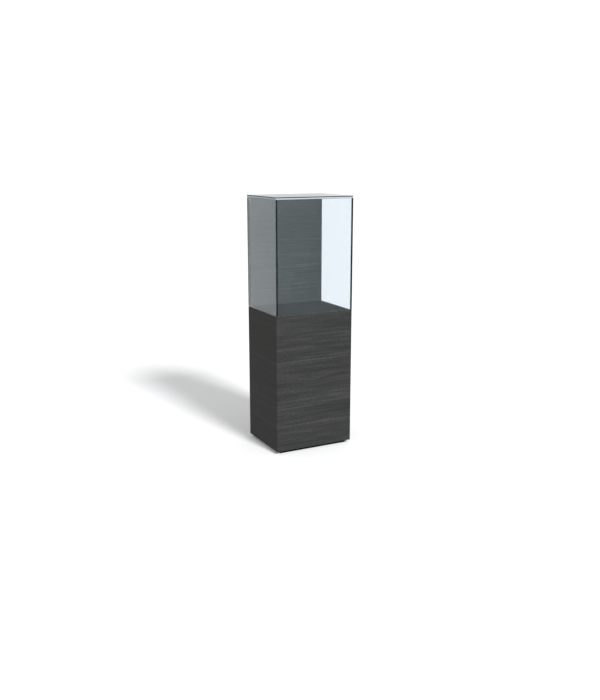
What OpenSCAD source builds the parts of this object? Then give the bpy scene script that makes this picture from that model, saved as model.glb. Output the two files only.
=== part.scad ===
// Pedestal display case: a laminated base on a recessed plinth, a frameless glass box on top,
// and a rear door of the same board that turns on two pins and locks into the deck.
// Millimetres. The origin is at the middle of the footprint, on the floor. The front faces -Y.

/* [Overall] */
// Width across the front
case_w = 450; // [380:5:800]
// Depth from the front pane to the back edges
case_d = 355; // [300:5:700]
// Height of the deck above the floor
deck_h = 750; // [400:10:1000]
// Height of the glass box above the deck, with its top pane
glass_h = 605; // [300:5:900]

/* [Base boards] */
// Thickness of the base's boards
board_t = 18; // [16:1:25]
// Chamfer along the visible edges of the boards
arris = 0.8; // [0.4:0.1:1.5]
// Side of the square battens and cleats
cleat_s = 20; // [18:1:30]
// Gap around the back panel, which comes off
panel_play = 1; // [0.5:0.1:2]

/* [Plinth] */
// Height of the plinth board
plinth_h = 15; // [15:1:40]
// How far the plinth stands back from the base's front and back
plinth_inset = 15; // [5:1:30]
// How far the plinth stands back from the base's sides
plinth_side_inset = 25; // [5:1:40]

/* [Levellers] */
// Distance of a leveller's axis from the plinth's edges
leveller_in = 40; // [30:1:60]
// Radius of a leveller's pad
pad_r = 15; // [12:0.5:18]
// Thickness of the pad
pad_t = 5; // [4:0.5:6]
// Radius of the threaded stem
stem_r = 4; // [3:0.5:5]
// How far a leveller screws out
leveller_travel = 10; // [4:1:12]
// Length of thread that holds a leveller when it is screwed right out
stem_grip = 10; // [8:0.5:11]

/* [Glass] */
// Thickness of the front and side panes
pane_t = 8; // [5:1:10]
// Thickness of the top pane
top_t = 12; // [6:1:15]
// Chamfer on the polished edges
glass_arris = 0.6; // [0.3:0.1:1]
// Thickness of the clear bedding under the standing panes
bed_t = 1; // [0.5:0.5:2]

/* [Door] */
// Thickness of the door
door_t = 25; // [23:1:30]
// Gap between the door's edges and the side panes
door_gap = 2; // [1.8:0.1:3]
// How far the door's outer face lies inside the back edges of the panes
door_inset = 3; // [2.5:0.5:6]
// Distance of the pivot from the door's hinge edge
pivot_in = 40; // [38:1:50]
// Distance of the pivot from the door's outer face
pivot_back = 10; // [9:0.5:12]
// Radius of the pivot pins
pin_r = 4; // [3:0.5:5]
// Length of pin that each bush takes
pin_l = 14; // [10:1:18]
// Radius of the bushes' sleeves
bush_r = 6; // [5.5:0.1:7]
// Radius of the bushes' flanges and of the thrust washer
flange_r = 9; // [8:0.5:9]
// Thickness of the bushes' flanges
flange_t = 1.5; // [1:0.5:2]
// Thickness of the thrust washer
washer_t = 1; // [0.5:0.5:1.5]
// Thickness of the pivot plates
pivot_plate_t = 2.5; // [2:0.5:4]

/* [Lock] */
// Distance of the lock's axis from the door's free edge
lock_in = 45; // [42:1:80]
// Height of the lock's axis above the door's lower edge
lock_rise = 18; // [17:0.5:20]
// Reach of the bolt from the lock's axis to its tip
bolt_reach = 28; // [27:0.5:30]
// Width of the bolt
bolt_w = 8; // [6:0.5:9]
// Thickness of the bolt
bolt_t = 3.5; // [3:0.5:4]
// Radius of the lock's barrel
barrel_r = 8; // [7.5:0.5:9]
// Length of the barrel inside the door
barrel_l = 12.5; // [12:0.5:13]
// Radius of the turning plug
plug_r = 5; // [4.5:0.5:5.5]
// Play beside the bolt in the keeper's slot
bolt_play = 0.8; // [0.7:0.1:1]
// Thickness of the keeper plate and of the lock case's forend
forend_t = 2; // [1.5:0.5:2.5]

/* [Door stops] */
// Width of a clear stop block, out from the pane
stop_w = 12; // [10:1:16]
// Depth of a stop block
stop_d = 10; // [8:1:16]
// Height of a stop block
stop_h = 12; // [11:1:30]
// Height of a stop block's lower end over the deck, and the same under the top pane
stop_lift = 5; // [4:1:30]

/* [Fasteners] */
// Radius of the wood screws' shanks
screw_r = 2; // [1.5:0.25:2.25]
// Radius of the wood screws' heads
screw_head_r = 4; // [3.5:0.25:4.5]
// Radius of the small screws' shanks, in the hardware
small_r = 1.4; // [1:0.2:1.6]
// Radius of the small screws' heads
small_head_r = 2.8; // [2.4:0.2:3]
// Length of the small screws
small_l = 11; // [8:1:12]
// Radius of the dowels
dowel_r = 4; // [3:0.5:5]
// Length of the dowels
dowel_l = 30; // [24:2:36]
// Board left beyond the end of a dowel
dowel_skin = 4; // [3:0.5:6]

/* [Hidden] */
$fn = 48;

// Colours
laminate = "#454646";
plain_board = "#b9a27c";
plinth_black = "#161616";
steel = "silver";
glass_tint = [0.78, 0.88, 0.90, 0.35];
clear = [0.92, 0.95, 0.96, 0.5];
nylon = "#22252a";
brass = "#b8a46a";

// Clearances
fit = 0.05;      // radial, of a shaft, dowel or screw in its hole
thrust_play = 0.05;
seat_play = 0.3; // between pieces that part when something moves
cut = 1;         // how far a cutting shape runs past a face

// The base, from the floor up
half_w = case_w / 2;
half_d = case_d / 2;
wall_x = half_w - board_t;     // inner faces of the side panels
wall_y = half_d - board_t;     // inner faces of the front and back panels
batten_x = wall_x - cleat_s;
batten_y = wall_y - cleat_s;
bottom_top = plinth_h + board_t;
deck_under = deck_h - board_t;
cleat_under = deck_under - cleat_s;
plinth_x = half_w - plinth_side_inset;
plinth_y = half_d - plinth_inset;

// Levellers
leveller_x = plinth_x - leveller_in;
leveller_y = plinth_y - leveller_in;
hex_t = 3;
hex_r = 6.5 / cos(30);          // 13 mm across the flats
pad_room = 5;                   // finger room round a pad
pad_well = pad_t + hex_t + 1;   // depth of the well that holds pad and hexagon
pad_socket = 3;                 // depth of the stem's foot in its pad
insert_wall = 2;
insert_l = 16;
stem_l = leveller_travel + stem_grip;
stem_top = pad_t + hex_t + stem_l;
corners = [[-1, -1], [1, -1], [-1, 1], [1, 1]];

// The glass box
pane_x = half_w - pane_t;       // inner faces of the side panes
pane_z = deck_h + bed_t;
top_z = deck_h + glass_h - top_t;

// The door, and what it turns on
lower_gap = washer_t + flange_t + 2 * thrust_play;
upper_gap = pivot_plate_t + flange_t + seat_play;
door_x = pane_x - door_gap;
door_out = half_d - door_inset; // outer face
door_in = door_out - door_t;    // inner face
door_z = deck_h + lower_gap;
door_top = top_z - upper_gap;
pivot_x = door_x - pivot_in;
pivot_y = door_out - pivot_back;
bush_end = 2;                   // sleeve left beyond the pin
bush_l = pin_l + bush_end;
plate_half_y = flange_r;
plate_reach = 30;               // how far the pivot plates run towards the middle
plate_margin = 2;               // how far the lower plate stays off the side panel
plate_screw_in = 6;
pivot_plate_x = [pivot_x - plate_reach, wall_x - plate_margin];

// The lock, in the door's lower free corner
lock_x = -door_x + lock_in;
lock_z = door_z + lock_rise;
lock_wall = 1.2;
case_depth = 9;
lock_case_y = [door_out - barrel_l - case_depth, door_out - barrel_l];
bolt_hub_r = bolt_w / 2 + 2.5;
lock_case_x = [lock_x - bolt_hub_r - 3, lock_x + bolt_reach + 3];
lock_case_z = [door_z, lock_z + bolt_hub_r + 3];
bolt_y = [lock_case_y[1] - lock_wall - seat_play - bolt_t, lock_case_y[1] - lock_wall - seat_play];
bolt_mid_y = (bolt_y[0] + bolt_y[1]) / 2;
slot_x = [lock_x - bolt_w / 2 - 1.5, lock_x + sqrt(pow(bolt_reach, 2) - pow(lock_rise - forend_t, 2)) + 2];
slot_w = bolt_t + 2 * bolt_play;
slot_depth = bolt_reach - lock_rise - lower_gap + 3;
spigot_r = plug_r + 1;
tail_s = 5;                     // side of the plug's square tail
escutcheon_r = barrel_r + 3;
escutcheon_t = 1.5;
forend_margin = 12;             // forend and keeper beyond their slots, for the screws
forend_screw_in = 6;
forend_half = 7;
keeper_x = [slot_x[0] - forend_margin, slot_x[1] + forend_margin];
forend_x = [lock_case_x[0] - forend_margin, lock_case_x[1] + forend_margin];
bolt_screw_r = 1.5;

// The door stops
bumper_r = 3.5;
bumper_t = 1.6;
stop_y = [door_in - seat_play - bumper_t - stop_d, door_in - seat_play - bumper_t];
stop_x = [-pane_x, -pane_x + stop_w];
stop_z = [deck_h + stop_lift, top_z - stop_lift - stop_h];

// Screws
plinth_screw_l = plinth_h + board_t - 5;
plinth_screw_x = half_w / 2 - 15; // beside the front dowels
panel_screw_l = board_t + cleat_s - 4;
deck_screw_l = cleat_s + board_t - 5;
screw_inset = 50;               // end distance of the rows of screws
sink = 0.5;                     // how far a head lies below its face

// A box between two corners
module box(lo, hi) {
    translate(lo) cube(hi - lo);
}

// A rectangle with its corners cut off
module eased_outline(w, h, c) {
    polygon([[c, 0], [w - c, 0], [w, c], [w, h - c], [w - c, h], [c, h], [0, h - c], [0, c]]);
}

// A box between two corners with a chamfer along all its edges
module eased_box(lo, hi, c) {
    size = hi - lo;
    translate(lo)
        intersection() {
            linear_extrude(size.z) eased_outline(size.x, size.y, c);
            translate([0, size.y, 0])
                rotate([90, 0, 0]) linear_extrude(size.y) eased_outline(size.x, size.z, c);
            rotate([90, 0, 90]) linear_extrude(size.x) eased_outline(size.y, size.z, c);
        }
}

// Turns what points up so that it points out of the back, or down
module facing_back(at) {
    translate(at) rotate([-90, 0, 0]) children();
}

module facing_down(at) {
    translate(at) rotate([180, 0, 0]) children();
}

// A countersunk screw that hangs down from the origin, with a cross recess in its head
module screw(r, head_r, l) {
    difference() {
        screw_body(r, head_r, l, 0);
        for (turn = [0, 90])
            rotate(turn) translate([-head_r / 2, -r / 6, -r * 0.7]) cube([head_r, r / 3, r]);
    }
}

module screw_body(r, head_r, l, grow) {
    neck = head_r - r;
    rotate_extrude()
        polygon([[0, 0], [head_r + grow, 0], [r + grow, -neck], [r + grow, -l + r], [0, -l - grow]]);
}

// The room that a screw takes, open above its head
module screw_hole(r, head_r, l) {
    screw_body(r, head_r, l, fit);
    cylinder(r = head_r + fit, h = sink + cut);
}

module wood_screw(l) {
    translate([0, 0, -sink]) screw(screw_r, screw_head_r, l);
}

module wood_screw_hole(l) {
    translate([0, 0, -sink]) screw_hole(screw_r, screw_head_r, l);
}

module small_screw() {
    screw(small_r, small_head_r, small_l);
}

module small_screw_hole() {
    screw_hole(small_r, small_head_r, small_l);
}

// Where the repeated fasteners go
module at_plinth_screws() {
    for (x = [-1, 0, 1], side = [-1, 1])
        facing_down([x * plinth_screw_x, side * (plinth_y - leveller_in / 2), 0]) children();
}

module at_back_panel_screws() {
    for (side = [-1, 1], z = [bottom_top + screw_inset, (bottom_top + cleat_under) / 2,
                              cleat_under - screw_inset])
        facing_back([side * (wall_x - cleat_s / 2), half_d, z]) children();
    for (side = [-1, 1])
        facing_back([side * batten_x / 2, half_d, deck_under - cleat_s / 2]) children();
}

module at_deck_screws() {
    for (side = [-1, 1], end = [-1, 1])
        facing_down([side * (wall_x - cleat_s / 2), end * (batten_y - screw_inset), cleat_under]) children();
    for (side = [-1, 1], end = [-1, 1])
        facing_down([side * batten_x / 3, end * (wall_y - cleat_s / 2), cleat_under]) children();
}

module at_levellers() {
    for (corner = corners)
        translate([corner.x * leveller_x, corner.y * leveller_y, 0]) children();
}

module at_pivot(z) {
    translate([pivot_x, pivot_y, z]) children();
}

module at_lower_pivot_screws() {
    for (x = [pivot_plate_x[0] + plate_screw_in, pivot_plate_x[1] - plate_screw_in])
        translate([x, pivot_y, deck_h]) children();
}

module at_keeper_screws() {
    for (x = [keeper_x[0] + forend_screw_in, keeper_x[1] - forend_screw_in])
        translate([x, bolt_mid_y, deck_h]) children();
}

module at_lock_case_screws() {
    for (x = [forend_x[0] + forend_screw_in, forend_x[1] - forend_screw_in])
        facing_down([x, bolt_mid_y, door_z]) children();
}

module at_dowels() {
    reach = dowel_skin + dowel_l / 2;
    for (side = [-1, 1], y = [-half_d / 2, half_d / 2])
        translate([side * (half_w - reach), y, plinth_h + board_t / 2]) rotate([0, 90, 0]) children();
    for (x = [-half_w / 2, half_w / 2])
        facing_back([x, -half_d + reach, plinth_h + board_t / 2]) children();
}

module dowel_hole() {
    cylinder(r = dowel_r + fit, h = dowel_l + 2 * thrust_play, center = true);
}

// Base boards
module plinth_board() {
    color(plinth_black)
        difference() {
            eased_box([-plinth_x, -plinth_y, 0], [plinth_x, plinth_y, plinth_h], arris);
            at_levellers() {
                translate([0, 0, -cut]) cylinder(r = pad_r + pad_room, h = pad_well + cut);
                cylinder(r = stem_r + insert_wall, h = plinth_h + cut);
            }
            at_plinth_screws() wood_screw_hole(plinth_screw_l);
        }
}

module bottom_panel() {
    color(plain_board)
        difference() {
            box([-wall_x, -wall_y, plinth_h], [wall_x, wall_y, bottom_top]);
            at_levellers() {
                cylinder(r = stem_r + insert_wall, h = pad_well + insert_l);
                cylinder(r = stem_r + fit, h = stem_top + fit);
            }
            at_plinth_screws() wood_screw_hole(plinth_screw_l);
            at_dowels() dowel_hole();
        }
}

// The front panel is mitred into both side panels, so its grain runs out to the corners
module front_panel() {
    color(laminate)
        difference() {
            translate([0, 0, plinth_h])
                linear_extrude(deck_h - plinth_h)
                    polygon([[-half_w + arris / 2, -half_d + arris / 2], [-half_w + arris, -half_d],
                             [half_w - arris, -half_d], [half_w - arris / 2, -half_d + arris / 2],
                             [wall_x, -wall_y], [-wall_x, -wall_y]]);
            at_dowels() dowel_hole();
        }
}

module side_panel() {
    difference() {
        translate([0, 0, plinth_h])
            linear_extrude(deck_h - plinth_h)
                polygon([[half_w - arris / 2, -half_d + arris / 2], [half_w, -half_d + arris],
                         [half_w, half_d - arris], [half_w - arris, half_d],
                         [wall_x, half_d], [wall_x, -wall_y]]);
        at_dowels() dowel_hole();
    }
}

module left_panel() {
    color(laminate) mirror([1, 0, 0]) side_panel();
}

module right_panel() {
    color(laminate) side_panel();
}

module base_back_panel() {
    color(laminate)
        difference() {
            eased_box([-wall_x + panel_play, wall_y, plinth_h + panel_play],
                      [wall_x - panel_play, half_d, deck_under - panel_play], arris / 2);
            at_back_panel_screws() wood_screw_hole(panel_screw_l);
        }
}

module deck_panel() {
    color(laminate)
        difference() {
            box([-wall_x, -wall_y, deck_under], [wall_x, half_d, deck_h]);
            box([keeper_x[0], bolt_mid_y - forend_half, deck_h - forend_t],
                [keeper_x[1], bolt_mid_y + forend_half, deck_h + cut]);
            box([slot_x[0], bolt_mid_y - slot_w / 2, deck_h - slot_depth],
                [slot_x[1], bolt_mid_y + slot_w / 2, deck_h + cut]);
            box([pivot_plate_x[0], pivot_y - plate_half_y, deck_h - pivot_plate_t],
                [pivot_plate_x[1], pivot_y + plate_half_y, deck_h + cut]);
            at_keeper_screws() small_screw_hole();
            at_lower_pivot_screws() small_screw_hole();
            at_deck_screws() wood_screw_hole(deck_screw_l);
        }
}

// Battens and cleats
module corner_batten(side) {
    color(plain_board)
        translate([side * (wall_x - cleat_s / 2), -wall_y + cleat_s / 2, (bottom_top + cleat_under) / 2])
            cube([cleat_s, cleat_s, cleat_under - bottom_top], center = true);
}

module back_cleat(side) {
    color(plain_board)
        difference() {
            translate([side * (wall_x - cleat_s / 2), wall_y - cleat_s / 2, (bottom_top + cleat_under) / 2])
                cube([cleat_s, cleat_s, cleat_under - bottom_top], center = true);
            at_back_panel_screws() wood_screw_hole(panel_screw_l);
        }
}

module deck_cleat_front() {
    color(plain_board)
        difference() {
            box([-wall_x, -wall_y, cleat_under], [wall_x, -batten_y, deck_under]);
            at_deck_screws() wood_screw_hole(deck_screw_l);
        }
}

module deck_cleat_side(side) {
    color(plain_board)
        difference() {
            translate([side * (wall_x - cleat_s / 2), (wall_y - batten_y) / 2, deck_under - cleat_s / 2])
                cube([cleat_s, wall_y + batten_y, cleat_s], center = true);
            at_deck_screws() wood_screw_hole(deck_screw_l);
        }
}

module deck_cleat_back() {
    color(plain_board)
        difference() {
            box([-batten_x, batten_y, cleat_under], [batten_x, wall_y, deck_under]);
            at_deck_screws() wood_screw_hole(deck_screw_l);
            at_back_panel_screws() wood_screw_hole(panel_screw_l);
        }
}

// Fasteners of the base
module bottom_dowels() {
    color(plain_board) at_dowels() cylinder(r = dowel_r, h = dowel_l, center = true);
}

module plinth_screws() {
    color(steel) at_plinth_screws() wood_screw(plinth_screw_l);
}

module back_panel_screws() {
    color(steel) at_back_panel_screws() wood_screw(panel_screw_l);
}

module deck_screws() {
    color(steel) at_deck_screws() wood_screw(deck_screw_l);
}

// Levellers
module leveller_inserts() {
    color(brass)
        at_levellers()
            translate([0, 0, pad_well])
                difference() {
                    cylinder(r = stem_r + insert_wall, h = insert_l);
                    translate([0, 0, -cut]) cylinder(r = stem_r + fit, h = insert_l + 2 * cut);
                }
}

module leveller_stem(corner) {
    color(steel)
        translate([corner.x * leveller_x, corner.y * leveller_y, 0]) {
            translate([0, 0, pad_t - pad_socket]) cylinder(r = stem_r + 1, h = pad_socket);
            translate([0, 0, pad_t]) cylinder(r = hex_r, h = hex_t, $fn = 6);
            translate([0, 0, pad_t + hex_t]) cylinder(r = stem_r, h = stem_l - 1);
            translate([0, 0, stem_top - 1]) cylinder(r1 = stem_r, r2 = stem_r - 1, h = 1);
        }
}

module leveller_pad(corner) {
    color(nylon)
        translate([corner.x * leveller_x, corner.y * leveller_y, 0])
            difference() {
                rotate_extrude()
                    polygon([[0, 0], [pad_r - 1, 0], [pad_r, 1], [pad_r, pad_t - 2],
                             [pad_r - 4, pad_t], [0, pad_t]]);
                translate([0, 0, pad_t - pad_socket]) cylinder(r = stem_r + 1, h = pad_socket + cut);
            }
}

// Glass
module glass_bedding() {
    color(clear) {
        for (side = [-1, 1])
            translate([side * (half_w - pane_t / 2), 0, deck_h + bed_t / 2])
                cube([pane_t - 2 * glass_arris, case_d - 2 * glass_arris, bed_t], center = true);
        translate([0, -half_d + pane_t / 2, deck_h + bed_t / 2])
            cube([case_w - 2 * pane_t, pane_t - 2 * glass_arris, bed_t], center = true);
    }
}

module side_pane() {
    eased_box([pane_x, -half_d, pane_z], [half_w, half_d, top_z], glass_arris);
}

module glass_front() {
    color(glass_tint)
        eased_box([-pane_x, -half_d, pane_z], [pane_x, -half_d + pane_t, top_z], glass_arris);
}

module glass_left() {
    color(glass_tint) mirror([1, 0, 0]) side_pane();
}

module glass_right() {
    color(glass_tint) side_pane();
}

module glass_top() {
    color(glass_tint)
        eased_box([-half_w, -half_d, top_z], [half_w, half_d, top_z + top_t], glass_arris);
}

// The door
module back_door() {
    color(laminate)
        difference() {
            eased_box([-door_x, door_in, door_z], [door_x, door_out, door_top], arris);
            at_pivot(door_z - cut) cylinder(r = bush_r, h = bush_l + cut);
            at_pivot(door_top - bush_l) cylinder(r = bush_r, h = bush_l + cut);
            box([lock_case_x[0], lock_case_y[0], door_z - cut],
                [lock_case_x[1], lock_case_y[1], lock_case_z[1]]);
            box([forend_x[0], bolt_mid_y - forend_half, door_z - cut],
                [forend_x[1], bolt_mid_y + forend_half, door_z + forend_t]);
            facing_back([lock_x, lock_case_y[1] - cut, lock_z])
                cylinder(r = barrel_r, h = barrel_l + 2 * cut);
            at_lock_case_screws() small_screw_hole();
        }
}

module bush() {
    difference() {
        union() {
            cylinder(r = bush_r, h = bush_l);
            translate([0, 0, -flange_t]) cylinder(r = flange_r, h = flange_t);
        }
        translate([0, 0, -flange_t - cut]) cylinder(r = pin_r + fit, h = flange_t + bush_l + 2 * cut);
    }
}

module lower_bush() {
    color(nylon) at_pivot(door_z) bush();
}

module upper_bush() {
    color(nylon) at_pivot(door_top) mirror([0, 0, 1]) bush();
}

module thrust_washer() {
    color(steel)
        at_pivot(deck_h)
            difference() {
                cylinder(r = flange_r, h = washer_t);
                translate([0, 0, -cut]) cylinder(r = pin_r + fit, h = washer_t + 2 * cut);
            }
}

// The lower pin stands on a plate let into the deck, the upper one hangs from a plate bonded
// to the top pane: the glass box is lowered over the standing door
module lower_pivot() {
    color(steel)
        difference() {
            union() {
                box([pivot_plate_x[0], pivot_y - plate_half_y, deck_h - pivot_plate_t],
                    [pivot_plate_x[1], pivot_y + plate_half_y, deck_h]);
                at_pivot(deck_h - pivot_plate_t)
                    cylinder(r = pin_r, h = pivot_plate_t + lower_gap + pin_l - 1);
                at_pivot(door_z + pin_l - 1) cylinder(r1 = pin_r, r2 = pin_r - 1, h = 1);
            }
            at_lower_pivot_screws() small_screw_hole();
        }
}

module upper_pivot() {
    color(steel) {
        box([pivot_x - plate_reach, pivot_y - plate_half_y, top_z - pivot_plate_t],
            [pivot_x + plate_reach, pivot_y + plate_half_y, top_z]);
        at_pivot(door_top - pin_l + 1) cylinder(r = pin_r, h = upper_gap + pin_l - 1 - pivot_plate_t / 2);
        at_pivot(door_top - pin_l) cylinder(r1 = pin_r - 1, r2 = pin_r, h = 1);
    }
}

module lower_pivot_screws() {
    color(steel) at_lower_pivot_screws() small_screw();
}

// The lock: a thin steel case with its forend, let into the door's lower edge from below
module lock_case() {
    color(steel)
        difference() {
            union() {
                box([lock_case_x[0], lock_case_y[0], lock_case_z[0]],
                    [lock_case_x[1], lock_case_y[1], lock_case_z[1]]);
                box([forend_x[0], bolt_mid_y - forend_half, door_z],
                    [forend_x[1], bolt_mid_y + forend_half, door_z + forend_t]);
            }
            box([lock_case_x[0] + lock_wall, lock_case_y[0] + lock_wall, door_z + forend_t],
                [lock_case_x[1] - lock_wall, lock_case_y[1] - lock_wall, lock_case_z[1] - lock_wall]);
            box([slot_x[0], bolt_mid_y - slot_w / 2, door_z - cut],
                [slot_x[1], bolt_mid_y + slot_w / 2, door_z + forend_t + cut]);
            facing_back([lock_x, lock_case_y[1] - lock_wall - cut, lock_z])
                cylinder(r = spigot_r, h = lock_wall + 2 * cut);
            at_lock_case_screws() small_screw_hole();
        }
}

module lock_case_screws() {
    color(steel) at_lock_case_screws() small_screw();
}

module lock_barrel() {
    color(steel)
        facing_back([lock_x, door_out - barrel_l, lock_z])
            difference() {
                union() {
                    translate([0, 0, -lock_wall]) cylinder(r = spigot_r, h = lock_wall);
                    cylinder(r = barrel_r, h = barrel_l);
                    translate([0, 0, barrel_l])
                        cylinder(r1 = escutcheon_r, r2 = escutcheon_r - 1, h = escutcheon_t);
                }
                translate([0, 0, -lock_wall - cut])
                    cylinder(r = plug_r + fit, h = lock_wall + barrel_l + escutcheon_t + 2 * cut);
            }
}

// The plug carries the bolt on its square tail. The keyway is a plain slot
module lock_plug() {
    keyway = [1.2, 6, 8];
    plug_l = lock_wall + barrel_l + escutcheon_t - seat_play;
    color(brass)
        facing_back([lock_x, door_out - barrel_l - lock_wall, lock_z])
            difference() {
                union() {
                    cylinder(r = plug_r, h = plug_l);
                    translate([0, 0, -(seat_play + bolt_t) / 2])
                        cube([tail_s, tail_s, seat_play + bolt_t], center = true);
                }
                translate([-keyway.x / 2, -keyway.y / 2, plug_l - keyway.z]) cube(keyway + [0, 0, cut]);
                translate([0, 0, -seat_play - bolt_t - cut]) cylinder(r = bolt_screw_r, h = bolt_t + 3 + cut);
            }
}

module swing_bolt() {
    color(steel)
        facing_back([lock_x, bolt_y[0], lock_z])
            difference() {
                union() {
                    cylinder(r = bolt_hub_r, h = bolt_t);
                    translate([0, -bolt_w / 2, 0]) cube([bolt_reach, bolt_w, bolt_t]);
                }
                translate([-tail_s / 2, -tail_s / 2, -cut]) cube([tail_s, tail_s, bolt_t + 2 * cut]);
            }
}

module bolt_screw() {
    head_t = 1.2;
    recess_w = 0.8;
    bolt_head_r = tail_s * 0.8;
    color(steel)
        facing_back([lock_x, bolt_y[0], lock_z]) {
            difference() {
                translate([0, 0, -head_t]) cylinder(r = bolt_head_r, h = head_t);
                for (turn = [0, 90])
                    rotate(turn)
                        translate([-bolt_head_r, -recess_w / 2, -head_t - cut])
                            cube([2 * bolt_head_r, recess_w, cut + head_t / 2]);
            }
            cylinder(r = bolt_screw_r, h = bolt_t + 2);
        }
}

module keeper_plate() {
    color(steel)
        difference() {
            box([keeper_x[0], bolt_mid_y - forend_half, deck_h - forend_t],
                [keeper_x[1], bolt_mid_y + forend_half, deck_h]);
            box([slot_x[0], bolt_mid_y - slot_w / 2, deck_h - forend_t - cut],
                [slot_x[1], bolt_mid_y + slot_w / 2, deck_h + cut]);
            at_keeper_screws() small_screw_hole();
        }
}

module keeper_screws() {
    color(steel) at_keeper_screws() small_screw();
}

// Clear stops bonded to the side pane, one just over the deck and one just under the top pane,
// with soft bumpers that the closed door meets
module door_stop(z) {
    color(clear)
        eased_box([stop_x[0], stop_y[0], z], [stop_x[1], stop_y[1], z + stop_h], glass_arris);
}

module stop_bumpers() {
    color(clear)
        for (z = stop_z)
            facing_back([stop_x[1] - bumper_r - 1, stop_y[1], z + stop_h / 2])
                rotate_extrude()
                    polygon([[0, 0], [bumper_r, 0], [bumper_r, bumper_t / 2],
                             [bumper_r - 1, bumper_t], [0, bumper_t]]);
}

plinth_board();
bottom_panel();
front_panel();
left_panel();
right_panel();
base_back_panel();
deck_panel();
corner_batten(-1);  // corner_batten_left
corner_batten(1);  // corner_batten_right
back_cleat(-1);  // back_cleat_left
back_cleat(1);  // back_cleat_right
deck_cleat_front();
deck_cleat_side(-1);  // deck_cleat_left
deck_cleat_side(1);  // deck_cleat_right
deck_cleat_back();
bottom_dowels();
plinth_screws();
back_panel_screws();
deck_screws();
leveller_inserts();
leveller_stem(corners[0]);  // leveller_stem_front_left
leveller_stem(corners[1]);  // leveller_stem_front_right
leveller_stem(corners[2]);  // leveller_stem_back_left
leveller_stem(corners[3]);  // leveller_stem_back_right
leveller_pad(corners[0]);  // leveller_pad_front_left
leveller_pad(corners[1]);  // leveller_pad_front_right
leveller_pad(corners[2]);  // leveller_pad_back_left
leveller_pad(corners[3]);  // leveller_pad_back_right
glass_bedding();
glass_front();
glass_left();
glass_right();
glass_top();
back_door();
upper_pivot();
lower_pivot();
lower_pivot_screws();
thrust_washer();
upper_bush();
lower_bush();
lock_case();
lock_case_screws();
lock_barrel();
lock_plug();
swing_bolt();
bolt_screw();
keeper_plate();
keeper_screws();
door_stop(stop_z[1]);  // door_stop_upper
door_stop(stop_z[0]);  // door_stop_lower
stop_bumpers();
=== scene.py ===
# %% [markdown]
# # A glass display case on a wooden base
#
# The case stands on a low black plinth. Its base is boxed in dark grey wood-grain laminate, and a
# frameless glass box stands on it, with a laminate door at the back. The measured parts come from the
# imported model, so here they only get their finishes. Two things are modelled here: the glass panes, whose
# polished edges get colours of their own with painted light and shade, and the dust seals round the door.
# Everything is in metres, with the front towards -Y.

import math

import bpy
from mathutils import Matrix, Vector


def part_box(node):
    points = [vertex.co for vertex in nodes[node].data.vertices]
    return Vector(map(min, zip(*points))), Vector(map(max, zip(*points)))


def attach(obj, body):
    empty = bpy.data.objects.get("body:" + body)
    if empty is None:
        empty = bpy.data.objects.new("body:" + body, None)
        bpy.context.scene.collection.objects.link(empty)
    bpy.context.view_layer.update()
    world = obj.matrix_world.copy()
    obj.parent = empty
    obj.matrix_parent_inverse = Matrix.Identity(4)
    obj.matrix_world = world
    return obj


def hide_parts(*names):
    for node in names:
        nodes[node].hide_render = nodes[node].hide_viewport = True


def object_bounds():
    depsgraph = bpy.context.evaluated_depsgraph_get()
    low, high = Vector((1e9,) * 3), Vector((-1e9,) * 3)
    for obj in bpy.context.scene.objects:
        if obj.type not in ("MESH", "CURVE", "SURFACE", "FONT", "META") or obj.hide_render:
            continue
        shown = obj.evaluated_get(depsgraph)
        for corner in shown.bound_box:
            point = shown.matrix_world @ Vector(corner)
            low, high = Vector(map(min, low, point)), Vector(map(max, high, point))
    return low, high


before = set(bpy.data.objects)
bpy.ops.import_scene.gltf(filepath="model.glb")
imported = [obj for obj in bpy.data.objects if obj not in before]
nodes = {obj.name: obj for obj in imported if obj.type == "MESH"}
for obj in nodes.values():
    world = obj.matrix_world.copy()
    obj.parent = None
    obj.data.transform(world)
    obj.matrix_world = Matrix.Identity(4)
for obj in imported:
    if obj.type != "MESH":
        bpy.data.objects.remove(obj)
cad_low, cad_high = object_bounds()
print("parts:", len(nodes), "size in m:", [round(v, 3) for v in cad_high - cad_low])

# %% [markdown]
# ## The camera
#
# The camera stands 4.4 m from the case along the floor, to the left of the front, at the eye height of
# somebody who stands. Both side edges of the front stay almost parallel, which a normal lens gives at that
# distance. The place and the turn were worked out from the corners of the case, so they are plain numbers.

# %% Camera
optics = bpy.data.cameras.new("picture_camera")
optics.lens = 42.36
optics.sensor_width = 36.0
optics.clip_end = 100.0
camera = bpy.data.objects.new("picture_camera", optics)
camera.location = (-2.02725, -3.9269, 1.5543)
camera.rotation_euler = (math.radians(76.77), 0.0, math.radians(-27.34))
bpy.context.scene.collection.objects.link(camera)
bpy.context.scene.camera = camera
print("camera is", round(camera.location.xy.length, 2), "m from the middle of the case, along the floor")

# %% [markdown]
# ## Three small helpers
#
# Colours are easier to read as the hex codes that a paint chart gives, but Blender mixes light in linear
# values, so one function turns one into the other. Another adds a node to a material with its settings
# and its links in one call, which keeps each recipe short, and the third starts an empty material.
#
# Sockets that share a name go by their number. A Mix node for colours has its factor at 0, its two
# colours at 6 and 7 and its result at 2, and a Math node that multiplies and adds gives 0 times 1 plus 2.


# %% Helpers for colours and nodes
def linear(code):
    """The linear colour of an sRGB hex code."""
    values = [int(code[i : i + 2], 16) / 255 for i in (1, 3, 5)]
    return [v / 12.92 if v <= 0.04045 else ((v + 0.055) / 1.055) ** 2.4 for v in values] + [1.0]


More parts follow.
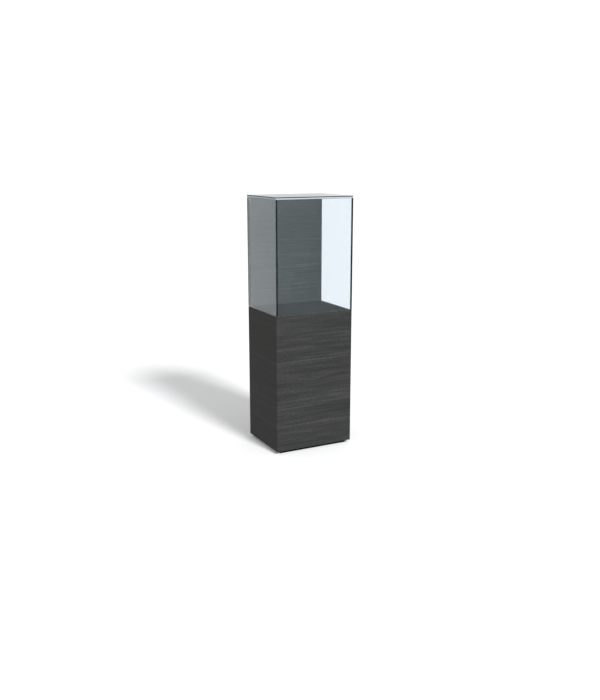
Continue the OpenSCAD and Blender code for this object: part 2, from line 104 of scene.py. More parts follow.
def add(tree, kind, links=None, values=None, stops=(), **options):
    """Adds a node: links feed its sockets, values set them, and options are its properties.

    Stops are the places and colours of a ramp, from its low end to its high end."""
    node = tree.nodes.new("ShaderNode" + kind)
    for name, value in options.items():
        setattr(node, name, value)
    for name, value in (values or {}).items():
        node.inputs[name].default_value = value
    for name, source in (links or {}).items():
        tree.links.new(source, node.inputs[name])
    if stops:
        ramp = node.color_ramp.elements
        for end in (0, -1):
            ramp[end].position = stops[end][0]
            ramp[end].color = linear(stops[end][1])
        for at, code in stops[1:-1]:
            ramp.new(at).color = linear(code)
    return node


def new_material(name):
    """An empty node material and its tree."""
    material = bpy.data.materials.new(name)
    material.use_nodes = True
    material.node_tree.nodes.clear()
    return material, material.node_tree


print("mid grey #808080 is", round(linear("#808080")[0], 3), "in linear light")

# %% [markdown]
# ## Studio: white floor, white surroundings, one soft key light
#
# The studio is white all over. The camera sees it plain white, and glass and metal mirror it a little less
# bright, while the light that it gives to the case stays lower still. Light Path tells these apart: it
# says of each ray whether it comes straight from the camera, through glass or out of a mirror image.


# %% Which rays look at the studio
def looking_rays(tree):
    """Three sockets: 1 for a ray from the camera or through glass, for a mirrored one, for one through glass.

    All three are 0 for a ray that has left a matt surface, because such a ray only brings light."""
    path = add(tree, "LightPath")
    looks = add(tree, "Math", {0: path.outputs["Diffuse Depth"]}, {1: 0.5}, operation="LESS_THAN").outputs[0]
    straight = {0: path.outputs["Is Camera Ray"], 1: path.outputs["Is Transmission Ray"]}
    straight = add(tree, "Math", straight, operation="MAXIMUM").outputs[0]
    mirrored = {0: path.outputs["Is Glossy Ray"], 1: straight}
    mirrored = add(tree, "Math", mirrored, operation="GREATER_THAN").outputs[0]
    kinds = (straight, mirrored, path.outputs["Is Transmission Ray"])
    return [add(tree, "Math", {0: kind, 1: looks}, operation="MULTIPLY").outputs[0] for kind in kinds]


# %% [markdown]
# The floor is white paint, which gives back 80 % of the light. A ray that looks straight at it finds it
# whiter, with a thin haze of its own, so that it meets the white surroundings with no line. Through glass
# it is whiter still, which makes good what the panes take away.
#
# Glass chooses at random, ray by ray, whether to mirror or to let through, and a shaded floor in that
# mirror image would add its own noise to the panes. So mirrored rays meet a plain glow instead, which falls
# off towards the back, as the floor behind the case is further from the light.

# %% Floor
paint_white, through_glass = 0.8, 0.08
haze, front_glow, back_glow, glow_reach = 0.12, 0.86, 0.76, 2.0
bpy.ops.object.select_all(action="DESELECT")
bpy.ops.mesh.primitive_plane_add(size=60.0, location=(0.0, 0.0, 0.0))
floor = bpy.context.object
floor.name = "studio_floor"
material, tree = new_material("studio_floor_white_paint")
straight, mirrored, through = looking_rays(tree)
level = {1: 1.0 - paint_white, 2: paint_white}
level = add(tree, "Math", {0: straight}, level, operation="MULTIPLY_ADD").outputs[0]
level = add(tree, "Math", {0: through, 2: level}, {1: through_glass}, operation="MULTIPLY_ADD").outputs[0]
level = add(tree, "Math", {0: mirrored, 2: level}, {1: -paint_white}, operation="MULTIPLY_ADD").outputs[0]
paint = add(tree, "BsdfDiffuse", {"Color": level})
glow = add(tree, "Math", {0: straight}, {1: haze}, operation="MULTIPLY").outputs[0]
depth = add(tree, "SeparateXYZ", {0: add(tree, "TexCoord").outputs["Object"]}).outputs["Y"]
fall = {"From Min": -glow_reach, "From Max": glow_reach, "To Min": front_glow, "To Max": back_glow}
fall = add(tree, "MapRange", {"Value": depth}, fall).outputs[0]
glow = add(tree, "Math", {0: mirrored, 1: fall, 2: glow}, operation="MULTIPLY_ADD").outputs[0]
glow = add(tree, "Emission", {"Strength": glow}, {"Color": linear("#f9fcff")})
both = add(tree, "AddShader", {0: paint.outputs[0], 1: glow.outputs[0]})
add(tree, "OutputMaterial", {"Surface": both.outputs[0]})
# The glow is there to be looked at, and lights nothing.
material.cycles.emission_sampling = "NONE"
floor.data.materials.append(material)
print("floor gives back", paint_white, "of the light that falls on it")

# %% Surroundings
fill, looked_at, in_mirrors = 0.483, 0.7, 0.267
world = bpy.data.worlds.new("white_studio")
bpy.context.scene.world = world
world.use_nodes = True
tree = world.node_tree
tree.nodes.clear()
straight, mirrored = looking_rays(tree)[:2]
level = add(tree, "Math", {0: straight}, {1: looked_at, 2: fill}, operation="MULTIPLY_ADD").outputs[0]
level = add(tree, "Math", {0: mirrored, 2: level}, {1: in_mirrors}, operation="MULTIPLY_ADD").outputs[0]
sky = add(tree, "Background", {"Strength": level}, {"Color": linear("#ffffff")})
add(tree, "OutputWorld", {"Surface": sky.outputs[0]})
print("surroundings light the case at", fill, "and show in its mirror images at", fill + in_mirrors)

# %% [markdown]
# The key light comes from the front, 8 degrees to the right and 38 degrees up, which gives the shadow its
# length and direction. It is 12 degrees wide, as a large softbox is, so that the shadow's edge is soft. An
# area lamp would fall off across the floor, so a sun lamp was chosen, which lights all of it evenly.

# %% Key light
key = bpy.data.lights.new("key_light", "SUN")
key.energy = 2.64
key.angle = math.radians(12.0)
key_light = bpy.data.objects.new("key_light", key)
side, height = math.radians(8.0), math.radians(38.0)
beam = Vector((-math.sin(side) * math.cos(height), math.cos(side) * math.cos(height), -math.sin(height)))
key_light.rotation_euler = beam.to_track_quat("-Z", "Y").to_euler()
bpy.context.scene.collection.objects.link(key_light)
# The Standard view shows each colour as it is, so white stays white.
bpy.context.scene.view_settings.view_transform = "Standard"
print("key light falls along", [round(v, 2) for v in beam])

# %% [markdown]
# ## Laminate with a grey wood grain
#
# The boards are covered with a decorative laminate: printed paper under melamine, pressed against a
# plate that gives it a fine, satin grain. A picture of a board could be wrapped round the case, but it
# would blur from close by. Layers of noise stay sharp, and each board can read its own part of them.
#
# Such a print is easiest to draw in its own coordinates, with X along the grain and Z across it. The print
# is flat, so a board's own thickness is left out of it. First comes where a point lies in the print,
# because the grain drifts up and down a little and parts round a lens-shaped figure, as round a knot.


# %% Where a point lies in the print
def print_place(tree, turn, shift, figure):
    """Two sockets: the height across the grain, and the whole place in the wavy print."""
    place = add(tree, "TexCoord").outputs["Object"]
    place = add(tree, "Mapping", {"Vector": place}, {"Rotation": turn, "Location": shift}).outputs[0]
    # The grain drifts by about 4 mm up and down.
    drift = add(tree, "VectorMath", {0: place}, {1: (2.0, 0.0, 5.0)}, operation="MULTIPLY").outputs[0]
    drift = add(tree, "TexNoise", {"Vector": drift}, {"Scale": 1.0, "Detail": 1.0}).outputs["Fac"]
    drift = add(tree, "MapRange", {"Value": drift}, {"To Min": -0.01, "To Max": 0.01}).outputs[0]
    # The figure is 340 mm long and 130 mm high, and lifts the grain by up to 30 mm.
    lens = add(tree, "VectorMath", {0: place}, {1: figure}, operation="SUBTRACT").outputs[0]
    lens = add(tree, "VectorMath", {0: lens}, {1: (5.9, 0.0, 15.4)}, operation="MULTIPLY").outputs[0]
    lens = add(tree, "TexGradient", {"Vector": lens}, gradient_type="QUADRATIC_SPHERE").outputs["Fac"]
    rise = add(tree, "Math", {0: lens, 2: drift}, {1: 0.03}, operation="MULTIPLY_ADD").outputs[0]
    flat = add(tree, "SeparateXYZ", {0: place})
    height = add(tree, "Math", {0: flat.outputs[2], 1: rise}, operation="ADD").outputs[0]
    wavy = add(tree, "CombineXYZ", {0: flat.outputs[0], 2: height}).outputs[0]
    return height, wavy


# %% [markdown]
# The print itself is five layers of noise, each drawn out along the grain. Streaks carry most of it: on
# the base they lie 31 mm down to 4 mm apart, and on the door 12 mm down to 2 mm. Broad bands tint it, and
# sandy flecks and short dark pores cover it all. Fibres are too fine for the picture and are there for a
# look from close by.


# %% Layers of the print
def print_layers(tree, wavy, per_metre):
    """Streaks, bands, flecks, pores and fibres; per metre is how many streaks lie in a metre."""
    patterns = (
        ((1.4, 0.0, per_metre), 3.0),  # streaks, 700 mm long
        ((0.6, 0.0, 16.0), 0.0),  # tinted bands, 60 mm high
        ((65.0, 0.0, 180.0), 1.0),  # flecks of 15 by 5 mm
        ((32.0, 0.0, 620.0), 1.0),  # pores of 30 by 1.5 mm
        ((110.0, 0.0, 2100.0), 2.0),  # fibres of 9 by 0.5 mm
    )
    layers = []
    for size, detail in patterns:
        drawn = add(tree, "VectorMath", {0: wavy}, {1: size}, operation="MULTIPLY").outputs[0]
        grain = {"Scale": 1.0, "Detail": detail, "Roughness": 0.85}
        layers.append(add(tree, "TexNoise", {"Vector": drawn}, grain).outputs["Fac"])
    return layers


# %% [markdown]
# Streaks, flecks and fibres add up to one tone, which a ramp turns into the board's own greys. Five thin,
# long pale lines run right across the base, where the year rings come close together. One broad, faint lift
# at the height of the door is painted light: it makes the door lighter at mid height than at its top and
# bottom. The bands lean to olive or to violet.

# %% Long pale lines, and painted light on the door
# Each row says how high a line lies, half its width, and how strong it is.
pale_lines_and_painted_door_light = (
    (0.637, 0.004, 0.12),
    (0.502, 0.004, 0.3),
    (0.289, 0.012, 0.14),
    (0.247, 0.003, 0.2),
    (0.151, 0.012, 0.14),
    # The last row is painted light: it makes the door lighter at mid height than at its top and bottom.
    (1.07, 0.22, 0.06),
)
fibre_weight = 0.5


# %% Colour of the print
def printed_colour(tree, layers, height, tones, streak_weight, fleck_weight):
    """Two sockets: the colour, and how deep the pores lie; tones run dark, middle, pale."""
    streaks, bands, flecks, pores, fibres = layers
    middle = 0.5 - (streak_weight + fleck_weight + fibre_weight) / 2
    weights = {1: streak_weight, 2: middle}
    tone = add(tree, "Math", {0: streaks}, weights, operation="MULTIPLY_ADD").outputs[0]
    tone = add(tree, "Math", {0: flecks, 2: tone}, {1: fleck_weight}, operation="MULTIPLY_ADD").outputs[0]
    tone = add(tree, "Math", {0: fibres, 2: tone}, {1: fibre_weight}, operation="MULTIPLY_ADD").outputs[0]
    # The thin lines are print, and the broad one over the door is painted light.
    for line, half, strength in pale_lines_and_painted_door_light:
        away = add(tree, "Math", {0: height}, {1: line}, operation="SUBTRACT").outputs[0]
        away = add(tree, "Math", {0: away}, operation="ABSOLUTE").outputs[0]
        fall = {"From Max": half, "To Min": strength, "To Max": 0.0}
        pale = add(tree, "MapRange", {"Value": away}, fall, interpolation_type="SMOOTHSTEP").outputs[0]
        tone = add(tree, "Math", {0: tone, 1: pale}, operation="ADD").outputs[0]
    stops = tuple(zip((0.1, 0.5, 0.9), tones))
    colour = add(tree, "ValToRGB", {"Fac": tone}, stops=stops).outputs[0]
    lean = add(tree, "MapRange", {"Value": bands}, {"From Min": 0.35, "From Max": 0.65}).outputs[0]
    olive_violet = {6: linear("#fffffb"), 7: linear("#fffeff")}
    lean = add(tree, "Mix", {0: lean}, olive_violet, data_type="RGBA").outputs[2]
    tinted = {6: colour, 7: lean}
    colour = add(tree, "Mix", tinted, {0: 1.0}, data_type="RGBA", blend_type="MULTIPLY").outputs[2]
    # The pores are dark dashes.
    deep = {"From Min": 0.6, "From Max": 0.74, "To Min": 0.0, "To Max": 0.55}
    deep = add(tree, "MapRange", {"Value": pores}, deep).outputs[0]
    pored = {0: deep, 6: colour}
    colour = add(tree, "Mix", pored, {7: linear("#1c1c1b")}, data_type="RGBA").outputs[2]
    return colour, deep


# %% [markdown]
# Last comes the melamine over the print. It is matt, a little duller where a streak is pale, and the
# plate has pressed the pores and fibres into it. On the door the streaks are pressed in as well, because
# a board behind glass needs that, or they would hardly show.


# %% Laminate recipe
def wood_laminate(name, turn, shift, figure, tones, streaking, gloss):
    """Printed laminate: turn and shift bring the board's place into the print.

    Streaking is how many streaks lie in a metre, how strongly they and the flecks are printed, and how
    deep the streaks are pressed in, which is drawn a little deeper than real."""
    per_metre, streak_weight, fleck_weight, press = streaking
    material, tree = new_material(name)
    height, wavy = print_place(tree, turn, shift, figure)
    layers = print_layers(tree, wavy, per_metre)
    colour, pores = printed_colour(tree, layers, height, tones, streak_weight, fleck_weight)
    streaks, fibres = layers[0], layers[-1]
    sheen = {"From Min": 0.35, "From Max": 0.65, "To Min": 0.5, "To Max": 0.62}
    sheen = add(tree, "MapRange", {"Value": streaks}, sheen).outputs[0]
    relief = add(tree, "Math", {0: fibres, 1: pores}, operation="SUBTRACT").outputs[0]
    relief = add(tree, "Bump", {"Height": relief}, {"Strength": 0.25, "Distance": 0.0004}).outputs[0]
    if press:
        pressed = {"Height": streaks, "Normal": relief}
        relief = add(tree, "Bump", pressed, {"Strength": 1.0, "Distance": press}).outputs[0]
    feeds = {"Base Color": colour, "Roughness": sheen, "Normal": relief}
    finish = add(tree, "BsdfPrincipled", feeds, {"Specular IOR Level": gloss, "IOR": 1.5})
    add(tree, "OutputMaterial", {"Surface": finish.outputs[0]})
    return material


def dress(material, *names):
    """Puts one material on these measured parts."""
    for name in names:
        data = nodes[name].data
        data.materials.clear()
        data.materials.append(material)


# %% [markdown]
# Each side board reads the print from where the front board's ends, which carries the streaks round the
# corner. The deck lies flat, so its print is turned down with it. The board at the back of the base reads
# another part of the print, and the door has a figure of its own.

# %% Dress the six laminated boards
round_corner = (cad_high.x - cad_low.x) / 2 + (cad_high.y - cad_low.y) / 2
quarter = math.pi / 2
facing, left, right, lying = (0.0, 0.0, 0.0), (0.0, 0.0, quarter), (0.0, 0.0, -quarter), (quarter, 0.0, 0.0)
front_tones = ("#222322", "#3a3b3b", "#525352")
side_tones = ("#292a28", "#3a3a39", "#484947")
door_tones = ("#191a19", "#363636", "#575857")
# The deck's tones are darker than the rest: painted shade for the dimmer light under the glass.
deck_tones_with_painted_shade = ("#0c0b0a", "#1f1d1c", "#33302f")
figure, door_figure = (-0.02, 0.0, 0.4), (0.0, 0.0, 1.06)
coarse, fine = (32.0, 1.0, 0.42, 0.0), (80.0, 0.8, 0.8, 0.0022)
satin, matt = 0.06, 0.0
for name, turn, shift, knot, tones, streaking, gloss in (
    ("front_panel", facing, (0.0, 0.0, 0.0), figure, front_tones, coarse, satin),
    ("left_panel", left, (-round_corner, 0.0, 0.0), figure, side_tones, coarse, satin),
    ("right_panel", right, (round_corner, 0.0, 0.0), figure, side_tones, coarse, satin),
    ("base_back_panel", facing, (1.9, 0.0, 0.03), figure, front_tones, coarse, satin),
    ("deck_panel", lying, (0.0, 0.0, 0.9), figure, deck_tones_with_painted_shade, coarse, matt),
    ("back_door", facing, (0.0, 0.0, 0.0), door_figure, door_tones, fine, satin),
):
    laminate = wood_laminate("grey_wood_laminate_" + name, turn, shift, knot, tones, streaking, gloss)
    dress(laminate, name)
print("streaks run on round the corner after", round(round_corner, 4), "m")

# %% [markdown]
# The deck's laminate is printed darker than the rest, which is painted shade for the dimmer light under the
# glass box. Its rear edge looks out at the back, between the door and the base, and is banded with the
# laminate of the base, whose streaks run level there too. The band could be a strip of its own, but it is no
# thicker than a millimetre, so it is drawn in the deck's own material, where the place along Y tells the two
# apart.

# %% Band the rear edge of the deck
band_deep, band_blend = 0.001, 0.0005
tree = nodes["deck_panel"].data.materials[0].node_tree
finish = next(node for node in tree.nodes if node.type == "BSDF_PRINCIPLED")
place = add(tree, "TexCoord").outputs["Object"]
drawn = add(tree, "VectorMath", {0: place}, {1: (1.4, 0.0, 180.0)}, operation="MULTIPLY").outputs[0]
drawn = add(tree, "TexNoise", {"Vector": drawn}, {"Scale": 1.0, "Detail": 3.0}).outputs["Fac"]
band = {6: linear(front_tones[0]), 7: linear(front_tones[-1])}
band = add(tree, "Mix", {0: drawn}, band, data_type="RGBA").outputs[2]
depth = add(tree, "SeparateXYZ", {0: place}).outputs["Y"]
band_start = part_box("deck_panel")[1].y - band_deep
behind = {"From Min": band_start, "From Max": band_start + band_blend}
behind = add(tree, "MapRange", {"Value": depth}, behind).outputs[0]
printed = finish.inputs["Base Color"].links[0].from_socket
banded = add(tree, "Mix", {0: behind, 6: printed, 7: band}, data_type="RGBA").outputs[2]
tree.links.new(banded, finish.inputs["Base Color"])
print("deck banded from y =", round(band_start, 4), "m")

# %% [markdown]
# ## Black plinth and plain inner boards
#
# The plinth board is sprayed with matt black lacquer, which dries with the fine ripple called orange
# peel, a good 2 mm from crest to crest, and holds a little dust. The boards, cleats and battens inside are
# plain: nobody sees them, so they are bare board in a pale brown, with its own soft grain.

# %% Black lacquer
crests = 420.0
material, tree = new_material("matt_black_lacquer")
place = add(tree, "TexCoord").outputs["Object"]
peel = add(tree, "TexNoise", {"Vector": place}, {"Scale": crests, "Detail": 2.0}).outputs["Fac"]
dust = add(tree, "TexNoise", {"Vector": place}, {"Scale": 35.0, "Detail": 4.0}).outputs["Fac"]
tint = add(tree, "ValToRGB", {"Fac": dust}, stops=((0.35, "#040404"), (0.7, "#0b0b0b")))
ripple = add(tree, "Bump", {"Height": peel}, {"Strength": 0.2, "Distance": 0.0002})
sheen = {"From Min": 0.3, "From Max": 0.7, "To Min": 0.5, "To Max": 0.65}
sheen = add(tree, "MapRange", {"Value": dust}, sheen)
feeds = {"Base Color": tint.outputs[0], "Roughness": sheen.outputs[0], "Normal": ripple.outputs[0]}
finish = add(tree, "BsdfPrincipled", feeds, {"IOR": 1.5, "Specular IOR Level": 0.05})
add(tree, "OutputMaterial", {"Surface": finish.outputs[0]})
dress(material, "plinth_board")
print("orange peel has", round(1000 / crests, 1), "mm from crest to crest")

# %% Plain board
material, tree = new_material("bare_beech_board")
place = add(tree, "TexCoord").outputs["Object"]
drawn = add(tree, "VectorMath", {0: place}, {1: (14.0, 90.0, 90.0)}, operation="MULTIPLY").outputs[0]
grain = {"Scale": 1.0, "Detail": 5.0, "Distortion": 0.4}
grain = add(tree, "TexNoise", {"Vector": drawn}, grain).outputs["Fac"]
flecks = add(tree, "VectorMath", {0: place}, {1: (260.0, 900.0, 900.0)}, operation="MULTIPLY").outputs[0]
flecks = add(tree, "TexNoise", {"Vector": flecks}, {"Scale": 1.0, "Detail": 1.0}).outputs["Fac"]
both = add(tree, "Math", {0: flecks, 2: grain}, {1: 0.25}, operation="MULTIPLY_ADD").outputs[0]
tint = add(tree, "ValToRGB", {"Fac": both}, stops=((0.45, "#a98352"), (0.8, "#d3b184")))
rough = add(tree, "Bump", {"Height": both}, {"Strength": 0.3, "Distance": 0.0004})
feeds = {"Base Color": tint.outputs[0], "Normal": rough.outputs[0]}
finish = add(tree, "BsdfPrincipled", feeds, {"Roughness": 0.7, "IOR": 1.5, "Specular IOR Level": 0.3})
add(tree, "OutputMaterial", {"Surface": finish.outputs[0]})
plain = ["bottom_panel", "bottom_dowels"]
plain += [name for name in nodes if "cleat" in name or "batten" in name]
dress(material, *plain)
print("plain board on", len(plain), "parts")

# %% [markdown]
# ## Metals and nylon
#
# The screws, pivots, keeper and lock case are zinc-plated steel, pale grey with a slight cloud. The lock
# cylinder is nickel-plated and bright, its plug and the leveller inserts are turned brass, the bushes
# and leveller feet are black nylon. One recipe serves all of them: a colour, how rough it is, and the
# fine cloud or turning marks that break up the shine.


# %% Recipe for small hardware
def hardware(name, low, high, metallic, shine, grit, depth):
    """A small part's finish: two close tones clouded by grit per metre, with shine from low to high."""
    material, tree = new_material(name)
    place = add(tree, "TexCoord").outputs["Object"]
    cloud = add(tree, "TexNoise", {"Vector": place}, {"Scale": grit, "Detail": 3.0}).outputs["Fac"]
    tint = add(tree, "ValToRGB", {"Fac": cloud}, stops=((0.35, low), (0.65, high)))
    sheen = {"From Min": 0.3, "From Max": 0.7, "To Min": shine[0], "To Max": shine[1]}
    sheen = add(tree, "MapRange", {"Value": cloud}, sheen)
    marks = add(tree, "Bump", {"Height": cloud}, {"Strength": depth, "Distance": 0.0001})
    feeds = {"Base Color": tint.outputs[0], "Roughness": sheen.outputs[0], "Normal": marks.outputs[0]}
    finish = add(tree, "BsdfPrincipled", feeds, {"Metallic": metallic})
    add(tree, "OutputMaterial", {"Surface": finish.outputs[0]})
    return material


# %% Put the hardware finishes on
zinc = hardware("zinc_plated_steel", "#9fa4a6", "#bcc0c1", 1.0, (0.28, 0.42), 700.0, 0.2)
nickel = hardware("bright_nickel_plate", "#b9b7b2", "#cbc9c4", 1.0, (0.12, 0.2), 900.0, 0.1)
brass = hardware("turned_brass", "#a8843f", "#c4a058", 1.0, (0.25, 0.36), 1100.0, 0.2)
nylon = hardware("black_nylon", "#121213", "#1d1d1f", 0.0, (0.45, 0.6), 600.0, 0.3)
steel_parts = [name for name in nodes if "screw" in name or "stem" in name]
steel_parts += ["upper_pivot", "lower_pivot", "thrust_washer", "lock_case", "swing_bolt", "keeper_plate"]
dress(zinc, *steel_parts)
dress(nickel, "lock_barrel")
dress(brass, "lock_plug", "leveller_inserts")
dress(nylon, "upper_bush", "lower_bush", *[name for name in nodes if "pad" in name])
print("zinc on", len(steel_parts), "parts")

# %% [markdown]
# ## Glass
#
# The panes are clear float glass, 8 mm thick at the sides and 12 mm on top, bonded edge to edge with no
# frame. A sheet with no thickness would render faster, but only a solid pane shifts what is seen through
# it, as real glass does. It takes a little red out of the light, so what stands behind it looks slightly
# blue. Glass has an index of about 1.5, and the one used here is a little lower, matched to how brightly
# the panes mirror the studio. Light for shadows goes straight through, tinted, which keeps the shadow
# clean. The stops that the door closes against are clear acrylic, and their bumpers and the bed under the
# glass are silicone.

# %% Glass values that all clear parts share
clear_index = 1.46
mirror_tint = "#ebf9fe"
shadow_tint = "#e8eef0"


# %% Clear glass recipe
def clear(name, tint, veil, shine, waves, clearness=1.0):
    """Clear glass or plastic: tint and veil are what a pane lets through, waves how many lie in a metre."""
    material, tree = new_material(name)
    place = add(tree, "TexCoord").outputs["Object"]
    wave = add(tree, "TexNoise", {"Vector": place}, {"Scale": waves, "Detail": 1.0}).outputs["Fac"]
    drawn = add(tree, "Bump", {"Height": wave}, {"Strength": 0.02, "Distance": 0.001})
    film = add(tree, "TexNoise", {"Vector": place}, {"Scale": waves * 4.0, "Detail": 3.0}).outputs["Fac"]
    colour = add(tree, "ValToRGB", {"Fac": film}, stops=((0.0, veil), (1.0, tint)))
    feeds = {"Base Color": colour.outputs[0], "Normal": drawn.outputs[0]}
    settings = {"Transmission Weight": clearness, "IOR": clear_index, "Roughness": shine}
    settings["Specular Tint"] = linear(mirror_tint)
    body = add(tree, "BsdfPrincipled", feeds, settings)
    shade = add(tree, "BsdfTransparent", values={"Color": linear(shadow_tint)})
    path = add(tree, "LightPath")
    both = {0: path.outputs["Is Shadow Ray"], 1: body.outputs[0], 2: shade.outputs[0]}
    both = add(tree, "MixShader", both)
    add(tree, "OutputMaterial", {"Surface": both.outputs[0]})
    return material


# %% Mix the clear materials
glass = clear("clear_float_glass", "#f3f8fb", "#f1f7fa", 0.0, 6.0)
silicone = clear("clear_silicone_bed", "#eef4f6", "#e4edf0", 0.25, 60.0, clearness=0.8)
acrylic = clear("clear_acrylic", "#f2f7f9", "#ecf3f6", 0.06, 80.0)
# The bumpers have a little smoke in them, so that they don't catch the light behind the glass.
smoky = clear("smoke_tinted_silicone", "#a4a9ab", "#9aa0a2", 0.25, 60.0)
dress(silicone, "glass_bedding")
dress(smoky, "stop_bumpers")
dress(acrylic, "door_stop_upper", "door_stop_lower")
print("clear materials:", glass.name, silicone.name, acrylic.name, smoky.name)

# %% [markdown]
# Looked at end on, a pane is many centimetres deep, so its polished edges turn dark and blue-green; here
# that dark is painted shade in an opaque edge colour. The top pane's edge is seen whole: a pale band, which
# is a painted highlight, with a painted dark line over it. Each edge gets its painted colours across its
# thickness, from the low face to the high one.


# %% Polished edge recipe
def glass_edge_painted_light_and_shade(node, thin, stops):
    """The edge of a pane, with its light and shade painted in; stops give its colours from the low face, at
    0, to the high face, at 1.
    """
    material, tree = new_material("glass_edge_painted_light_and_shade_" + node)
    low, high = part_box(node)
    place = add(tree, "TexCoord").outputs["Object"]
    across = add(tree, "SeparateXYZ", {0: place}).outputs[thin]
    across = add(tree, "MapRange", {"Value": across}, {"From Min": low[thin], "From Max": high[thin]})
    # The painted light and shade wander a little along the edge, as the polishing does.
    wander = add(tree, "TexNoise", {"Vector": place}, {"Scale": 30.0, "Detail": 2.0})
    wander = {0: wander.outputs["Fac"], 2: across.outputs[0]}
    across = add(tree, "Math", wander, {1: 0.1}, operation="MULTIPLY_ADD")
    tint = add(tree, "ValToRGB", {"Fac": across.outputs[0]}, stops=stops)
    settings = {"Roughness": 0.3, "IOR": 1.5, "Specular IOR Level": 0.2}
    finish = add(tree, "BsdfPrincipled", {"Base Color": tint.outputs[0]}, settings)
    add(tree, "OutputMaterial", {"Surface": finish.outputs[0]})
    return material


# %% [markdown]
# ## The four panes
#
# Each pane starts as a cube at the measured place and size. Its twelve edges get the small ground
# arris that keeps a glass edge from chipping, made with a two-step bevel. The two large faces keep the
# clear glass, and all that lies between them gets the edge material, whose light and shade are painted.
# A pane could also be a plane that a Solidify modifier thickens, but a cube's faces are easily told apart
# by the way that they look. The seals start as such a cube too, so it has a function of its own.


# %% A bar between two corners
def bar(name, low, high):
    """A cube stretched between two corners, with its place in its mesh."""
    low, high = Vector(low), Vector(high)
    bpy.ops.object.select_all(action="DESELECT")
    bpy.ops.mesh.primitive_cube_add(size=1.0, location=(low + high) / 2, scale=high - low)
    piece = bpy.context.object
    piece.name = name
    bpy.ops.object.transform_apply(location=True, rotation=True, scale=True)
    return piece


# %% Model the panes
arris = 0.0006


def pane(node, thin, stops):
    """A glass pane in place of a measured one; thin is the axis across its thickness."""
    piece = bar(node + "_pane", *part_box(node))
    bpy.ops.object.mode_set(mode="EDIT")
    bpy.ops.mesh.select_all(action="SELECT")
    bpy.ops.mesh.bevel(offset=arris, segments=2, affect="EDGES")
    bpy.ops.object.mode_set(mode="OBJECT")
    piece.data.materials.append(glass)
    piece.data.materials.append(glass_edge_painted_light_and_shade(node, thin, stops))
    for face in piece.data.polygons:
        face.material_index = 0 if abs(face.normal[thin]) > 0.99 else 1
    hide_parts(node)
    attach(piece, "case")
    print(piece.name, len(piece.data.polygons), "faces, edge on", thin)


# Both tables are painted: the dark bonded edges are painted shade, and the top's pale band and dark line are
# painted light and shade.
bonded = ((0.1, "#0c0e0f"), (0.35, "#10181a"), (0.75, "#10181a"), (1.0, "#0c0e0f"))
open_edge_painted_light_and_shade = ((0.0, "#7d8e96"), (0.3, "#bccad1"), (0.6, "#bccad1"), (0.72, "#0d1113"))
pane("glass_front", 1, bonded)
pane("glass_left", 0, bonded)
pane("glass_right", 0, bonded)
pane("glass_top", 2, open_edge_painted_light_and_shade)

# %% [markdown]
# ## Dust seals round the door
#
# A display door closes on soft strips of rubber, which keep dust and light out of the gap round it. The
# upright strips are stuck to the side panes and stay with the case: at the lock one strip as thick as the
# gap allows, and at the pivots a thick one in front and a thin one behind it, because the door's rear
# corner swings past there. The two level strips are stuck to the ends of the door and move with it, clear
# of the lock's bolt, the washer and the upper pivot. One loop round the gap would be simpler, but half of
# it has to stay and half has to swing, so each side gets a bar whose free side is rounded by a bevel.
#
# The rubber is dark grey and dull, extruded, with fine lines along the way it was drawn.

# %% Seal rubber
rubber, tree = new_material("grey_extruded_rubber")
place = add(tree, "TexCoord").outputs["Object"]
lines = add(tree, "VectorMath", {0: place}, {1: (300.0, 1800.0, 300.0)}, operation="MULTIPLY").outputs[0]
lines = add(tree, "TexNoise", {"Vector": lines}, {"Scale": 1.0, "Detail": 2.0}).outputs["Fac"]
tint = add(tree, "ValToRGB", {"Fac": lines}, stops=((0.3, "#333434"), (0.7, "#3f4040")))
drawn = add(tree, "Bump", {"Height": lines}, {"Strength": 0.3, "Distance": 0.0001})
feeds = {"Base Color": tint.outputs[0], "Normal": drawn.outputs[0]}
finish = add(tree, "BsdfPrincipled", feeds, {"Roughness": 0.75, "Specular IOR Level": 0.25})
add(tree, "OutputMaterial", {"Surface": finish.outputs[0]})
print("rubber for the seals:", rubber.name)

# %% One seal
rounding = 0.0004


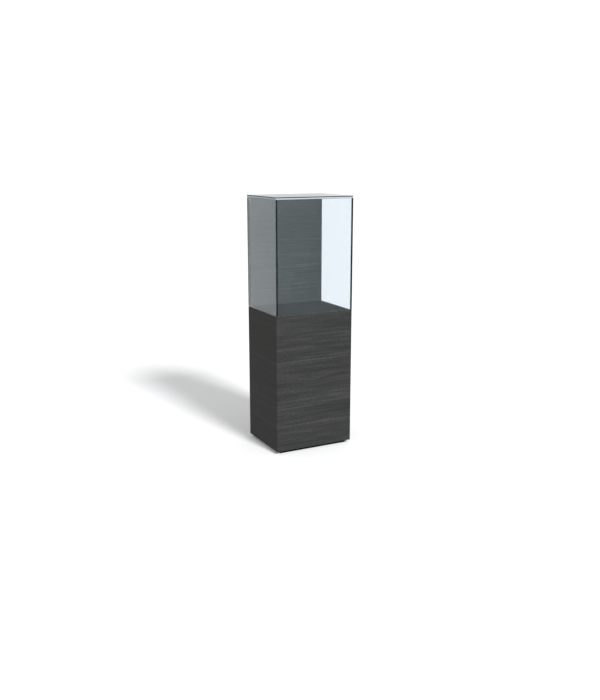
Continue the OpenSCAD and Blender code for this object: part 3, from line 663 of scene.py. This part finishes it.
def seal(name, low, high, free, body):
    """A strip between two corners; free is the way that its rounded side looks."""
    piece = bar(name, low, high)
    bpy.ops.object.mode_set(mode="EDIT")
    bpy.ops.mesh.select_all(action="DESELECT")
    bpy.ops.mesh.select_mode(type="FACE")
    bpy.ops.object.mode_set(mode="OBJECT")
    for face in piece.data.polygons:
        face.select = face.normal.dot(Vector(free)) > 0.99
    bpy.ops.object.mode_set(mode="EDIT")
    bpy.ops.mesh.bevel(offset=rounding, segments=3, affect="EDGES")
    bpy.ops.object.mode_set(mode="OBJECT")
    piece.data.materials.append(rubber)
    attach(piece, body)
    print(name, [round(v * 1000, 1) for v in Vector(high) - Vector(low)], "mm on the", body)


# %% Upright seals on the side panes
to_left, to_right, down, up = (-1.0, 0.0, 0.0), (1.0, 0.0, 0.0), (0.0, 0.0, -1.0), (0.0, 0.0, 1.0)
door_low, door_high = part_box("back_door")
inner_left, inner_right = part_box("glass_left")[1].x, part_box("glass_right")[0].x
foot, head = door_low.z, door_high.z
front, rear = door_low.y + 0.0005, door_high.y + 0.002
# Each strip's reach from its pane, the thickness of its tape, and where the two at the pivots meet.
lock_strip, thick_strip, thin_strip, tape = 0.0015, 0.0013, 0.0006, 0.0001
thick_end, thin_start = front + 0.0069, front + 0.007
low, high = (inner_left + tape, front, foot), (inner_left + lock_strip, rear, head)
seal("door_seal_lock_side", low, high, to_right, "case")
low, high = (inner_right - thick_strip, front, foot), (inner_right - tape, thick_end, head)
seal("door_seal_pivot_side_thick", low, high, to_left, "case")
low, high = (inner_right - thin_strip, thin_start, foot), (inner_right - tape, rear, head)
seal("door_seal_pivot_side_thin", low, high, to_left, "case")

# %% Level seals on the ends of the door
inset, hang, pivot_room, top_room = 0.0005, 0.0018, 0.005, 0.0004
low = (door_low.x + inset, front + inset, foot - hang)
high = (door_high.x - inset, front + 0.005, foot)
seal("door_seal_lower", low, high, down, "door")
short_of_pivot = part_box("upper_pivot")[0].x - pivot_room
under_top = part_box("glass_top")[0].z - top_room
low = (door_low.x + inset, door_high.y - 0.006, head)
high = (short_of_pivot, door_high.y - 0.001, under_top)
seal("door_seal_upper", low, high, up, "door")
